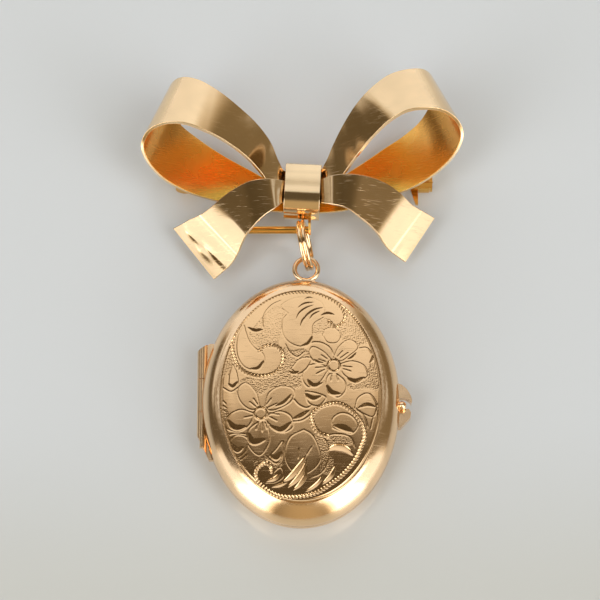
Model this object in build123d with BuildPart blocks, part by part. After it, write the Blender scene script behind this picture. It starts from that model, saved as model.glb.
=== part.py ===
from build123d import *
import os
from collections import namedtuple
from math import cos, radians, sin

# A gold pendant brooch lying face up on a table: a bow of ribbon with an oval locket below it.
# X runs to the right, Y from the locket up to the bow and Z up from the table, in millimetres.
# The origin is the middle of the locket's flat back, which lies on the table.

# Locket: two hollow halves that meet at the seam
locket_half_width = 10.87
locket_half_height = 14.2
locket_thickness = 6.0
locket_wall = 0.45
rim_width = 1.89
plate_rise = 0.2
plate_dome = 0.2
seam_gap = 0.06

# Locket hinge, along the left edge at the height of the seam
barrel_diameter = 1.1
hinge_pin_diameter = 0.5
hinge_top = 6.9
hinge_upper_split = 2.66
hinge_lower_split = -1.15
hinge_bottom = -6.6
hinge_top_taper = 1.0
hinge_bottom_taper = 2.8
hinge_taper_edge = 0.4
hinge_taper_reach = 0.8
leaf_thickness = 0.5
running_gap = 0.05

# Thumb pieces, on the right edge
thumb_reach = 1.35
thumb_thickness = 0.85
thumb_span = 2.25
thumb_middle = -0.5
thumb_ball = 1.0
thumb_root = 0.4

# Bail ring on the locket's back half, and the split ring that the locket hangs by
bail_outer = 3.15
bail_wire = 0.55
bail_offset = 0.6
bail_foot = 1.9
link_outer = 5.8
link_wire = 0.5
link_lean = 9.0
link_turn = 9.0
link_shift = 0.225
link_x = 0.5
link_above_locket = 4.34
link_z = 3.0

# Hanger wire behind the bow, and its lug under the knot
hanger_diameter = 0.85
hanger_room = 0.125
hanger_z = 3.0
hanger_left = -7.7
hanger_bend = 0.9
hanger_stock = 5.6
lug_x = 0.96
lug_thickness = 0.3
lug_depth = 1.5

# Knot band
knot_x = 0.17
knot_above_locket = 9.8
knot_width = 4.0
knot_below = 2.5
knot_above = 3.1
knot_low = 3.05
knot_high = 6.85
knot_wall = 0.35
knot_turn = 3.0
knot_slope = 1.1
knot_front_foot = 0.15
knot_front_drop = 0.65
knot_back_slope = 0.5
knot_back_drop = 0.46
knot_fillet = 0.3
piece_gap = 0.05
tail_room = 0.3

# Ribbon of the bow
sheet = 0.4
ribbon_width = 8.2
bow_reach = 16.5
bow_rise = 9.0
bow_height = 7.1
tail_reach = 13.3
tail_drop = 6.4
tail_height = 3.75
strip_low = knot_low + knot_wall + piece_gap + sheet / 2
tail_low = knot_high - knot_wall - tail_room - sheet / 2 - tail_height

# Brooch pin on the bow's back, with its joint behind the left loop and its catch behind the right
pin_diameter = 0.8
pin_above_locket = 12.65
pin_z = 1.2
pin_left = -12.9
pin_right = 14.9
pin_point = 3.0
pin_tip_diameter = 0.2
eye_diameter = 1.7
eye_width = 0.8
rivet_diameter = 0.6
ear_diameter = 2.4
ear_thickness = 0.45
catch_left = 13.25
catch_length = 1.2
catch_diameter = 2.4
catch_slot = 1.0
catch_post = 1.2
catch_post_offset = 0.1
sleeve_diameter = 1.75
sleeve_bore = 0.92
sleeve_slot = 0.9
collar_diameter = 2.2
collar_width = 0.5
end_collar_width = 0.3
lever_length = 2.7
lever_width = 0.9
lever_tip = 0.3
lever_root = 0.3
lever_thickness = 0.5

# Worked out from the sizes above; the bow keeps its place above the locket
seam = locket_thickness / 2
lid_foot = seam + seam_gap / 2
back_top = seam - seam_gap / 2
hinge_x = -locket_half_width
barrel_radius = barrel_diameter / 2
catch_right = catch_left + catch_length
post_height = bow_height
link_y = locket_half_height + link_above_locket
hanger_y = link_y + link_outer / 2 - link_wire - hanger_diameter / 2 - hanger_room
knot_y = locket_half_height + knot_above_locket
pin_y = locket_half_height + pin_above_locket

# One row for each section of a ribbon, as shares of the bow's sizes: how far out from the knot,
# how far up the bow and how high off the table its middle lies, and its width. The section's
# upper end leans this many degrees towards the knot, and dips this many towards the table.
Row = namedtuple("Row", "out up lift width lean dip")

left_loop = [
    Row(0.01, 0.12, 0.235, 0.33, 0, 0),
    Row(0.12, 0.13, 0.24, 0.34, 2, 0),
    Row(0.18, 0.23, 0.30, 0.38, 16, 0),
    Row(0.24, 0.40, 0.41, 0.46, 19, 6),
    Row(0.33, 0.56, 0.60, 0.55, 16, 12),
    Row(0.46, 0.73, 0.76, 0.66, 12, 17),
    Row(0.61, 0.89, 0.87, 0.78, 10, 20),
    Row(0.75, 1.00, 0.90, 0.86, 12, 22),
    Row(0.86, 1.03, 0.84, 0.92, 16, 22),
    Row(0.94, 1.00, 0.70, 0.98, 20, 21),
    Row(0.985, 0.89, 0.51, 1.00, 21, 18),
    Row(0.965, 0.75, 0.33, 0.97, 19, 16),
    Row(0.89, 0.58, 0.19, 0.92, 15, 13),
    Row(0.75, 0.42, 0.08, 0.85, 11, 9),
    Row(0.55, 0.25, 0.02, 0.69, 7, 4),
    Row(0.35, 0.11, 0.00, 0.55, 3, 0),
    Row(0.17, 0.00, 0.00, 0.41, 0, 0),
    Row(0.01, -0.03, 0.00, 0.36, 0, 0),
]
right_loop = [
    Row(0.01, 0.12, 0.235, 0.33, 0, 0),
    Row(0.13, 0.12, 0.24, 0.33, 2, 0),
    Row(0.20, 0.22, 0.30, 0.38, 18, 0),
    Row(0.26, 0.39, 0.40, 0.44, 22, 6),
    Row(0.34, 0.59, 0.59, 0.53, 22, 12),
    Row(0.44, 0.79, 0.81, 0.63, 21, 18),
    Row(0.55, 0.96, 0.95, 0.72, 20, 24),
    Row(0.66, 1.08, 1.00, 0.81, 18, 27),
    Row(0.78, 1.14, 0.97, 0.88, 17, 28),
    Row(0.90, 1.15, 0.87, 0.94, 19, 27),
    Row(0.97, 1.09, 0.71, 0.98, 22, 25),
    Row(1.00, 0.98, 0.53, 0.98, 23, 23),
    Row(0.97, 0.82, 0.36, 0.94, 22, 20),
    Row(0.89, 0.65, 0.21, 0.88, 19, 17),
    Row(0.76, 0.48, 0.10, 0.81, 16, 12),
    Row(0.60, 0.33, 0.03, 0.71, 13, 5),
    Row(0.44, 0.18, 0.00, 0.60, 10, 1),
    Row(0.27, 0.04, 0.00, 0.48, 6, 0),
    Row(0.13, -0.03, 0.00, 0.38, 0, 0),
    Row(0.01, -0.03, 0.00, 0.36, 0, 0),
]
left_tail = [
    Row(0.02, -0.03, 1.00, 0.31, 0, 0),
    Row(0.13, -0.025, 0.99, 0.30, -1, 0),
    Row(0.25, -0.105, 1.14, 0.43, -11, 0),
    Row(0.37, -0.21, 1.16, 0.54, -15, 0),
    Row(0.48, -0.36, 1.06, 0.62, -20, 0),
    Row(0.56, -0.48, 0.90, 0.65, -30, 0),
    Row(0.62, -0.59, 0.70, 0.68, -38, 0),
    Row(0.68, -0.70, 0.50, 0.76, -42, 0),
    Row(0.76, -0.81, 0.30, 0.87, -41, 0),
    Row(0.83, -0.89, 0.14, 0.90, -39, 0),
    Row(0.90, -0.96, -0.02, 0.93, -37, 0),
]
right_tail = [
    Row(0.02, -0.03, 1.00, 0.31, 0, 0),
    Row(0.14, -0.03, 1.00, 0.32, 0, 0),
    Row(0.28, -0.045, 1.20, 0.42, -2, 0),
    Row(0.40, -0.075, 1.25, 0.48, -9, 0),
    Row(0.53, -0.16, 1.12, 0.59, -15, 0),
    Row(0.65, -0.26, 0.90, 0.66, -20, 0),
    Row(0.75, -0.40, 0.68, 0.68, -27, 0),
    Row(0.81, -0.51, 0.47, 0.69, -33, 0),
    Row(0.87, -0.59, 0.31, 0.73, -35, 0),
    Row(0.94, -0.66, 0.17, 0.75, -34, 0),
    Row(1.00, -0.72, 0.05, 0.76, -32, 0),
]

# One row for each oval of the locket's rim, from the seam outwards: how far inside the seam's
# outline it lies, as a share of the rim's width, and how far from the seam, as a share of the half
Step = namedtuple("Step", "inset rise")
rim_steps = [
    Step(0.00, 0.17),
    Step(0.08, 0.38),
    Step(0.31, 0.66),
    Step(0.66, 0.89),
    Step(1.00, 1.00),
]
# The same for the slightly domed plate, as shares of its half width and of its dome
dome_steps = [
    Step(0.00, 0.00),
    Step(0.16, 0.45),
    Step(0.42, 0.82),
    Step(0.74, 1.00),
]


def loop_middle(row, side):
    """Middle of a loop's section; side is -1 on the left and 1 on the right."""
    return Vector(
        side * row.out * bow_reach,
        knot_y + row.up * bow_rise,
        strip_low + row.lift * bow_height,
    )


def tail_middle(row, side):
    """Middle of a tail's section."""
    return Vector(
        side * row.out * tail_reach,
        knot_y + row.up * tail_drop,
        tail_low + row.lift * tail_height,
    )


def ribbon_sections(rows, side, middle, thickness):
    """Thin upright rectangles along a ribbon, one for each row of its table."""
    middles = [middle(row, side) for row in rows]
    sections = []
    for index, row in enumerate(rows):
        lean = radians(row.lean)
        dip = radians(row.dip)
        across = Vector(-side * sin(lean) * cos(dip), cos(lean) * cos(dip), -sin(dip))
        ahead = middles[min(index + 1, len(rows) - 1)] - middles[max(index - 1, 0)]
        along = ahead - across * ahead.dot(across)
        with BuildSketch(Plane(origin=middles[index], x_dir=across, z_dir=along)) as section:
            Rectangle(row.width * ribbon_width, thickness)
        sections.append(section.sketch)
    return sections


def oval(inset, height):
    """An oval this far inside the seam's outline, at this height."""
    with BuildSketch(Plane.XY.offset(height)) as outline:
        Ellipse(locket_half_width - inset, locket_half_height - inset)
    return outline.sketch


def rim_ovals(foot, rise, wall):
    """The rim's ovals from the seam side at foot; a negative rise goes down."""
    return [oval(step.inset * rim_width + wall, foot + step.rise * rise) for step in rim_steps]


def along_x(start, y, z):
    """A plane across X, for round pieces that run along X; its own X is the real Y."""
    return Plane(origin=(start, y, z), x_dir=(0, 1, 0), z_dir=(1, 0, 0))


def along_y(x, start, z):
    """A plane across Y, for round pieces that run along Y; its own X is the real X."""
    return Plane(origin=(x, start, z), x_dir=(1, 0, 0), z_dir=(0, 1, 0))


def knuckle_clearance(low):
    """A circle a little larger than the hinge barrel, just below this place along the hinge."""
    with BuildSketch(along_y(hinge_x, low - running_gap, seam)) as clearance:
        Circle(barrel_radius + running_gap)
    return clearance.sketch


os.makedirs("parts", exist_ok=True)

# Left loop of the bow
with BuildPart() as loop_left:
    loft(ribbon_sections(left_loop, -1, loop_middle, sheet))
loop_left.part.label = "loop_left"
export_step(loop_left.part, "parts/loop_left.step")

# Right loop of the bow
with BuildPart() as loop_right:
    loft(ribbon_sections(right_loop, 1, loop_middle, sheet))
loop_right.part.label = "loop_right"
export_step(loop_right.part, "parts/loop_right.step")

# Left tail
with BuildPart() as tail_left:
    loft(ribbon_sections(left_tail, -1, tail_middle, sheet))
tail_left.part.label = "tail_left"
export_step(tail_left.part, "parts/tail_left.step")

# Right tail
with BuildPart() as tail_right:
    loft(ribbon_sections(right_tail, 1, tail_middle, sheet))
tail_right.part.label = "tail_right"
export_step(tail_right.part, "parts/tail_right.step")

# Knot band: a closed band round the ribbons, turned a little like the real one
turn = radians(knot_turn)
knot_plane = Plane(
    origin=(knot_x, knot_y, 0),
    x_dir=(sin(turn), cos(turn), 0),
    z_dir=(cos(turn), -sin(turn), 0),
)
with BuildPart() as knot_band:
    with BuildSketch(knot_plane) as knot_section:
        with BuildLine():
            Polyline(
                (-knot_below, knot_low),
                (knot_above, knot_low),
                (knot_above, knot_high - knot_back_drop),
                (knot_above - knot_back_slope, knot_high),
                (-knot_below + knot_slope, knot_high),
                (-knot_below + knot_front_foot, knot_high - knot_front_drop),
                close=True,
            )
        make_face()
        fillet(knot_section.vertices(), knot_fillet)
        offset(amount=-knot_wall, mode=Mode.SUBTRACT)
    extrude(amount=knot_width / 2, both=True)
knot_band.part.label = "knot_band"
export_step(knot_band.part, "parts/knot_band.step")

# Hanger wire: bent up to the left tail's back, with a lug that holds its right end under the knot
lug_top = knot_y - knot_below - 2 * piece_gap
hanger_top = tail_low + hanger_stock
with BuildPart() as tail_cutter:
    loft(ribbon_sections(left_tail, -1, tail_middle, sheet + 2 * piece_gap))
with BuildPart() as hanger_wire:
    with BuildLine():
        FilletPolyline(
            (hanger_left, hanger_y, hanger_top),
            (hanger_left, hanger_y, hanger_z),
            (lug_x, hanger_y, hanger_z),
            radius=hanger_bend,
        )
    with BuildSketch(Plane(origin=(hanger_left, hanger_y, hanger_top), z_dir=(0, 0, -1))):
        Circle(hanger_diameter / 2)
    sweep()
    add(tail_cutter.part, mode=Mode.SUBTRACT)
    add(hanger_wire.solids().sort_by(Axis.Z)[0], mode=Mode.REPLACE)
    lug_height = lug_top - hanger_y + hanger_diameter / 2
    with Locations((lug_x, lug_top - lug_height / 2, hanger_z + lug_depth / 2 - hanger_diameter / 2)):
        Box(lug_thickness, lug_height, lug_depth)
hanger_wire.part.label = "hanger_wire"
export_step(hanger_wire.part, "parts/hanger_wire.step")

# Split ring: two turns of wire side by side, seen almost on edge
lean = radians(link_lean)
link_swing = radians(link_turn)
ring_up = Vector(-sin(lean), cos(lean), 0)
ring_front = Vector(-sin(link_swing), 0, cos(link_swing))
ring_plane = Plane(origin=(link_x, link_y, link_z), x_dir=ring_up, z_dir=ring_up.cross(ring_front))
with BuildPart() as link:
    for shift in (-link_shift, link_shift):
        with Locations(ring_plane.offset(shift)):
            Torus((link_outer - link_wire) / 2, link_wire / 2)
link.part.label = "link"
export_step(link.part, "parts/link.step")

# Outline of the locket's hinge from the front, with its ends cut at a slant
with BuildSketch() as hinge_outline:
    with BuildLine():
        Polyline(
            (hinge_x - barrel_diameter, hinge_top - hinge_top_taper - hinge_taper_edge),
            (hinge_x + hinge_taper_reach, hinge_top),
            (hinge_x + 2 * barrel_diameter, hinge_top),
            (hinge_x + 2 * barrel_diameter, hinge_bottom),
            (hinge_x + hinge_taper_reach, hinge_bottom),
            (hinge_x - barrel_radius, hinge_bottom + hinge_bottom_taper),
            (hinge_x - barrel_diameter, hinge_bottom + hinge_bottom_taper + hinge_taper_edge),
            close=True,
        )
    make_face()

# Outer knuckles and their leaf, soldered to the back half
with BuildPart() as outer_knuckles:
    for low, high in (
        (hinge_bottom, hinge_lower_split - running_gap / 2),
        (hinge_upper_split + running_gap / 2, hinge_top),
    ):
        with BuildSketch(along_y(hinge_x, low, seam)):
            Circle(barrel_radius)
        extrude(amount=high - low)
        with BuildSketch(Plane.XY.offset(back_top - leaf_thickness)):
            with Locations((hinge_x, (low + high) / 2)):
                Rectangle(2 * barrel_diameter, high - low, align=(Align.MIN, Align.CENTER))
        extrude(amount=leaf_thickness)
    extrude(hinge_outline.sketch, amount=locket_thickness, mode=Mode.INTERSECT)

# Back half of the locket
bail_y = locket_half_height + bail_outer / 2
bail_z = back_top - bail_wire / 2
with BuildPart() as locket_back:
    extrude(oval(0, back_top), amount=-rim_steps[0].rise * back_top)
    loft(rim_ovals(back_top, -back_top, 0))
    add(outer_knuckles.part)
    with Locations((bail_offset, bail_y, bail_z)):
        Torus((bail_outer - bail_wire) / 2, bail_wire / 2)
    with Locations((bail_offset, locket_half_height, bail_z)):
        Box(bail_foot, bail_wire, bail_wire)
    with BuildSketch(Plane.XY.offset(back_top)) as back_thumb:
        with BuildLine():
            Polyline(
                (locket_half_width - thumb_root, thumb_middle - 0.10 * thumb_span),
                (locket_half_width + 0.75 * thumb_reach, thumb_middle - 0.07 * thumb_span),
                (locket_half_width + 0.92 * thumb_reach, thumb_middle - 0.25 * thumb_span),
                (locket_half_width + 0.88 * thumb_reach, thumb_middle - 0.50 * thumb_span),
                (locket_half_width + 0.05 * thumb_reach, thumb_middle - 1.05 * thumb_span),
                (locket_half_width - thumb_root, thumb_middle - 1.05 * thumb_span),
                close=True,
            )
        make_face()
        fillet(back_thumb.vertices().sort_by(Axis.X)[-3:], 0.12)
    extrude(amount=-thumb_thickness)
    extrude(oval(locket_wall, back_top), amount=-rim_steps[0].rise * back_top, mode=Mode.SUBTRACT)
    loft(rim_ovals(back_top, -(back_top - locket_wall), locket_wall), mode=Mode.SUBTRACT)
    extrude(
        knuckle_clearance(hinge_lower_split),
        amount=hinge_upper_split - hinge_lower_split + 2 * running_gap,
        mode=Mode.SUBTRACT,
    )
    with BuildSketch(along_y(hinge_x, hinge_bottom, seam)):
        Circle(hinge_pin_diameter / 2 + running_gap)
    extrude(amount=hinge_top - hinge_bottom, mode=Mode.SUBTRACT)
locket_back.part.label = "locket_back"
export_step(locket_back.part, "parts/locket_back.step")

# Front half of the locket
lid_rise = locket_thickness - lid_foot - plate_rise - plate_dome
plate_foot = lid_foot + lid_rise
plate_inset = rim_width
with BuildPart() as locket_lid:
    extrude(oval(0, lid_foot), amount=rim_steps[0].rise * lid_rise)
    loft(rim_ovals(lid_foot, lid_rise, 0))
    extrude(oval(plate_inset, plate_foot), amount=plate_rise)
    loft(
        [
            oval(
                plate_inset + step.inset * (locket_half_width - plate_inset),
                plate_foot + plate_rise + step.rise * plate_dome,
            )
            for step in dome_steps
        ]
    )
    with BuildSketch(along_y(hinge_x, hinge_lower_split + running_gap / 2, seam)):
        Circle(barrel_radius)
    extrude(amount=hinge_upper_split - hinge_lower_split - running_gap)
    with BuildSketch(Plane.XY.offset(lid_foot)):
        with BuildLine():
            Polyline(
                (locket_half_width + 0.10 * thumb_reach, thumb_middle + 0.35 * thumb_span),
                (locket_half_width - thumb_root, thumb_middle + 0.35 * thumb_span),
                (locket_half_width - thumb_root, thumb_middle + 1.08 * thumb_span),
                (locket_half_width + 0.04 * thumb_reach, thumb_middle + 1.08 * thumb_span),
            )
            ThreePointArc(
                (locket_half_width + 0.04 * thumb_reach, thumb_middle + 1.08 * thumb_span),
                (locket_half_width + 0.72 * thumb_reach, thumb_middle + 0.68 * thumb_span),
                (locket_half_width + thumb_reach, thumb_middle + 0.22 * thumb_span),
            )
            Line(
                (locket_half_width + thumb_reach, thumb_middle + 0.22 * thumb_span),
                (locket_half_width + 0.91 * thumb_reach, thumb_middle + 0.05 * thumb_span),
            )
            ThreePointArc(
                (locket_half_width + 0.91 * thumb_reach, thumb_middle + 0.05 * thumb_span),
                (locket_half_width + 0.58 * thumb_reach, thumb_middle + 0.30 * thumb_span),
                (locket_half_width + 0.10 * thumb_reach, thumb_middle + 0.35 * thumb_span),
            )
        make_face()
    extrude(amount=thumb_thickness)
    with Locations((locket_half_width + 0.15 * thumb_reach, thumb_middle, lid_foot + thumb_ball / 2)):
        Sphere(thumb_ball / 2)
    extrude(oval(locket_wall, lid_foot), amount=rim_steps[0].rise * lid_rise, mode=Mode.SUBTRACT)
    loft(rim_ovals(lid_foot, lid_rise + plate_rise - locket_wall, locket_wall), mode=Mode.SUBTRACT)
    for low, high in ((hinge_bottom, hinge_lower_split), (hinge_upper_split, hinge_top)):
        extrude(
            knuckle_clearance(low),
            amount=high - low + 2 * running_gap,
            mode=Mode.SUBTRACT,
        )
    with BuildSketch(along_y(hinge_x, hinge_bottom, seam)):
        Circle(hinge_pin_diameter / 2 + running_gap)
    extrude(amount=hinge_top - hinge_bottom, mode=Mode.SUBTRACT)
locket_lid.part.label = "locket_lid"
export_step(locket_lid.part, "parts/locket_lid.step")

# Pin through the locket's three knuckles
pin_low = hinge_bottom + hinge_bottom_taper / 2
pin_high = hinge_top - hinge_top_taper
with BuildPart() as locket_hinge_pin:
    with BuildSketch(along_y(hinge_x, pin_low, seam)):
        Circle(hinge_pin_diameter / 2)
    extrude(amount=pin_high - pin_low)
locket_hinge_pin.part.label = "locket_hinge_pin"
export_step(locket_hinge_pin.part, "parts/locket_hinge_pin.step")

# Pin joint: two ears on a pad that follows the left loop's back, and the rivet between them
ear_inner = eye_width / 2 + running_gap
ear_outer = ear_inner + ear_thickness
with BuildPart() as left_cutter:
    loft(ribbon_sections(left_loop, -1, loop_middle, sheet + 2 * piece_gap))
with BuildPart() as pin_joint:
    for start in (pin_y - ear_outer, pin_y + ear_inner):
        with BuildSketch(along_y(pin_left, start, pin_z)):
            Circle(ear_diameter / 2)
            with Locations((0, -post_height / 2)):
                Rectangle(ear_diameter, post_height)
        extrude(amount=ear_thickness)
    with Locations((pin_left, pin_y, pin_z + eye_diameter / 2 + running_gap + post_height / 2)):
        Box(ear_diameter, 2 * ear_outer, post_height)
    add(left_cutter.part, mode=Mode.SUBTRACT)
    add(pin_joint.solids().sort_by(Axis.Z)[0], mode=Mode.REPLACE)
    with BuildSketch(along_y(pin_left, pin_y - ear_outer, pin_z)):
        Circle(rivet_diameter / 2)
    extrude(amount=2 * ear_outer)
pin_joint.part.label = "pin_joint"
export_step(pin_joint.part, "parts/pin_joint.step")

# Brooch pin: an eye on the rivet, and a straight stem with a point
stem_length = pin_right - pin_left
with BuildPart() as pin_stem:
    with BuildSketch(along_y(pin_left, pin_y - eye_width / 2, pin_z)):
        Circle(eye_diameter / 2)
    extrude(amount=eye_width)
    with BuildSketch(along_x(pin_left, pin_y, pin_z)):
        Circle(pin_diameter / 2)
    extrude(amount=stem_length - pin_point)
    with BuildSketch(along_x(pin_right - pin_point, pin_y, pin_z)):
        Circle(pin_diameter / 2)
    with BuildSketch(along_x(pin_right, pin_y, pin_z)):
        Circle(pin_tip_diameter / 2)
    loft()
    with BuildSketch(along_y(pin_left, pin_y - eye_width / 2, pin_z)):
        Circle(rivet_diameter / 2 + running_gap)
    extrude(amount=eye_width, mode=Mode.SUBTRACT)
pin_stem.part.label = "pin_stem"
export_step(pin_stem.part, "parts/pin_stem.step")

# Catch: a round hook, open towards the table, on a post that follows the right loop's back
with BuildPart() as right_cutter:
    loft(ribbon_sections(right_loop, 1, loop_middle, sheet + 2 * piece_gap))
with BuildPart() as pin_catch:
    with BuildSketch(along_x(catch_left, pin_y, pin_z)):
        Circle(catch_diameter / 2)
        with Locations((catch_post_offset, post_height / 2)):
            Rectangle(catch_post, post_height)
    extrude(amount=catch_length)
    add(right_cutter.part, mode=Mode.SUBTRACT)
    add(pin_catch.solids().sort_by(Axis.Z)[0], mode=Mode.REPLACE)
    with BuildSketch(along_x(catch_left, pin_y, pin_z)):
        Circle(sleeve_diameter / 2 + running_gap)
        with Locations((0, -catch_diameter / 2)):
            Rectangle(catch_slot, catch_diameter)
    extrude(amount=catch_length, mode=Mode.SUBTRACT)
pin_catch.part.label = "pin_catch"
export_step(pin_catch.part, "parts/pin_catch.step")

# Turning sleeve of the catch, with the pointed lever that turns it
sleeve_left = catch_left - running_gap - collar_width
sleeve_right = catch_right + running_gap + end_collar_width
with BuildPart() as catch_lever:
    with BuildSketch(along_x(sleeve_left, pin_y, pin_z)):
        Circle(sleeve_diameter / 2)
    extrude(amount=sleeve_right - sleeve_left)
    for start, width in (
        (sleeve_left, collar_width),
        (sleeve_right - end_collar_width, end_collar_width),
    ):
        with BuildSketch(along_x(start, pin_y, pin_z)):
            Circle(collar_diameter / 2)
        extrude(amount=width)
    with BuildSketch(Plane.XY.offset(pin_z - lever_thickness / 2)):
        with BuildLine():
            Polyline(
                (sleeve_left + collar_width - lever_width, pin_y - collar_diameter / 2 + lever_root),
                (sleeve_left + collar_width, pin_y - collar_diameter / 2 + lever_root),
                (sleeve_left + collar_width, pin_y - lever_length),
                (sleeve_left + collar_width - lever_tip, pin_y - lever_length),
                close=True,
            )
        make_face()
    extrude(amount=lever_thickness)
    with BuildSketch(along_x(sleeve_left, pin_y, pin_z)):
        Circle(sleeve_bore / 2)
        with Locations((0, -collar_diameter / 2)):
            Rectangle(sleeve_slot, collar_diameter)
    extrude(amount=sleeve_right - sleeve_left, mode=Mode.SUBTRACT)
catch_lever.part.label = "catch_lever"
export_step(catch_lever.part, "parts/catch_lever.step")
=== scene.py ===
# %% [markdown]
# # A gold bow brooch with an engraved locket
#
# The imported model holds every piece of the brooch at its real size: the ribbon's two loops and two
# tails, the knot band, the split ring, the locket's halves and the pin. This lesson dresses those
# pieces. Blender works in metres here, so `mm` turns the jeweller's millimetres into them.

# %% Load the fixed frame
import math
from collections import namedtuple

import bmesh
import bpy
import numpy as np
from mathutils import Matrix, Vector


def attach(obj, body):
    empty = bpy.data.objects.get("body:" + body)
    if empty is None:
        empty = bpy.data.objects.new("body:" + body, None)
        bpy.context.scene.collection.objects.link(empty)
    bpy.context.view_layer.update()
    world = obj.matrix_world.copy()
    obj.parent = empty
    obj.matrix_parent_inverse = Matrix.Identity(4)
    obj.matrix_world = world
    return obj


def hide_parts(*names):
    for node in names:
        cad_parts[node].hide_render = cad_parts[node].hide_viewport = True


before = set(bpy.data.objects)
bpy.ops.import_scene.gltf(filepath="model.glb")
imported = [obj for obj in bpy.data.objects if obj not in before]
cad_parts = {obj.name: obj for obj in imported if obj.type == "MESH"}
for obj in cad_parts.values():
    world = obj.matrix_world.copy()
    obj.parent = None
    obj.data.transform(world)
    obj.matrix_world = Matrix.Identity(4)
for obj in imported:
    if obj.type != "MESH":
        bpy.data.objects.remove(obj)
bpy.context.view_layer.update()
mm = 0.001

# %% [markdown]
# ## Shader maths as plain Python
#
# A material is a graph of nodes, and arithmetic on its values needs many small Math nodes. The
# `Wire` class wraps one socket, so that `1 - mask` or `height * 0.5` adds the node by itself, and
# the `Graph` class adds any other node from its settings and inputs.

# %% A small class for node sockets
class Wire:
    def __init__(self, graph, socket):
        self.graph = graph
        self.socket = socket

    def maths(self, operation, *others):
        return self.graph.add("ShaderNodeMath", {"operation": operation}, [self, *others])[0]

    def __add__(self, other):
        return self.maths("ADD", other)

    __radd__ = __add__

    def __mul__(self, other):
        return self.maths("MULTIPLY", other)

    __rmul__ = __mul__

    def __sub__(self, other):
        return self.maths("SUBTRACT", other)

    def __rsub__(self, other):
        return self.graph.add("ShaderNodeMath", {"operation": "SUBTRACT"}, [other, self])[0]

    def between(self, low, high):
        """0 below low, 1 above high and a smooth step in between; low may be the larger one."""
        settings = {"interpolation_type": "SMOOTHSTEP"}
        limits = [low, high, 0.0, 1.0] if low < high else [high, low, 1.0, 0.0]
        return self.graph.add("ShaderNodeMapRange", settings, [self, *limits])[0]


# %% One method that adds any node
class Outputs:
    """The outputs of a node, each of which comes as a Wire, by its name or its number."""

    def __init__(self, graph, node):
        self.graph = graph
        self.node = node

    def __getitem__(self, key):
        return Wire(self.graph, self.node.outputs[key])


class Graph:
    def __init__(self, tree):
        self.tree = tree
        tree.nodes.clear()

    def add(self, kind, settings=None, inputs=None):
        """Adds a node: its settings first, then its inputs, by name or in order."""
        node = self.tree.nodes.new(kind)
        for name, value in (settings or {}).items():
            setattr(node, name, value)
        pairs = inputs.items() if isinstance(inputs, dict) else enumerate(inputs or [])
        for key, value in pairs:
            if isinstance(value, Wire):
                self.tree.links.new(value.socket, node.inputs[key])
            else:
                node.inputs[key].default_value = value
        return Outputs(self, node)

    def blend(self, factor, first, second):
        """Mixes two colours, each of them a wire or its red, green and blue."""
        first, second = [(*c, 1.0) if isinstance(c, tuple) else c for c in (first, second)]
        # A Mix node has sockets for every kind of value, and these are the ones for colours
        sockets = {0: factor, 6: first, 7: second}
        return self.add("ShaderNodeMix", {"data_type": "RGBA"}, sockets)[2]

    def noise(self, place, scale, detail=2.0):
        """Soft random spots, scale of them to the metre, as a value round 0.5."""
        inputs = {"Vector": place, "Scale": scale, "Detail": detail}
        return self.add("ShaderNodeTexNoise", inputs=inputs)["Fac"]


# %% [markdown]
# ## The light around the brooch
#
# Polished gold has hardly any colour of its own to show: it shows what it reflects. The brooch was
# lit by two large soft lamps, left and right and a little towards the viewer, with a pale backdrop
# beyond the bow and darkness overhead and between the lamps. The World paints exactly that, by the
# direction that is looked in, so the ribbons pick up the same light and dark bands.

# %% Choose the strength and colour of each light
backdrop_strength = 0.82
lamp_strength = 1.10
lamp_core_strength = 1.9
wall_strength = 0.40
left_wall_strength = 0.26
behind_strength = 0.34
gloom_strength = 0.12
lit_colour = (0.98, 0.99, 1.0)
gloom_colour = (1.0, 0.78, 0.46)
clutter_scale = 5.0
print("the lamps are", round(lamp_strength / backdrop_strength, 2), "times as bright as the backdrop")


# %% Shape each light by its angles
# `aside` is the turn away from the far side and `rise` the height above the table, both in degrees.
# Each between() says at which angle a light begins to show, and at which it is there in full.
def backdrop_shape(aside, rise, left, right):
    """The backdrop fills the view beyond the bow, and narrows and dims high up."""
    edges = aside.between(52, 40) * left + aside.between(42, 20) * right
    edges = edges * (1 - rise.between(52, 64) * aside.between(20, 34))
    return edges * rise.between(72.9, 70.7) * (1.0 - rise.between(64, 73) * 0.10)


def lamp_shape(aside, rise, left):
    """Two lamps, of which the left one begins a little nearer to the viewer."""
    begin = aside - left * rise.between(24, 32) * 9
    return begin.between(90, 97) * aside.between(154, 138) * rise.between(82, 66)


def wall_shape(aside, rise, left, right, clutter):
    """Pale walls with dark things before them, between the backdrop and the lamps."""
    wall = aside.between(38, 50) * left + aside.between(40, 48) * right
    wall = wall * aside.between(78, 68) * (rise - right * 8).between(14, 22) * rise.between(60, 50)
    return wall * (1 - clutter.between(0.50, 0.58) * 0.8)


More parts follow.
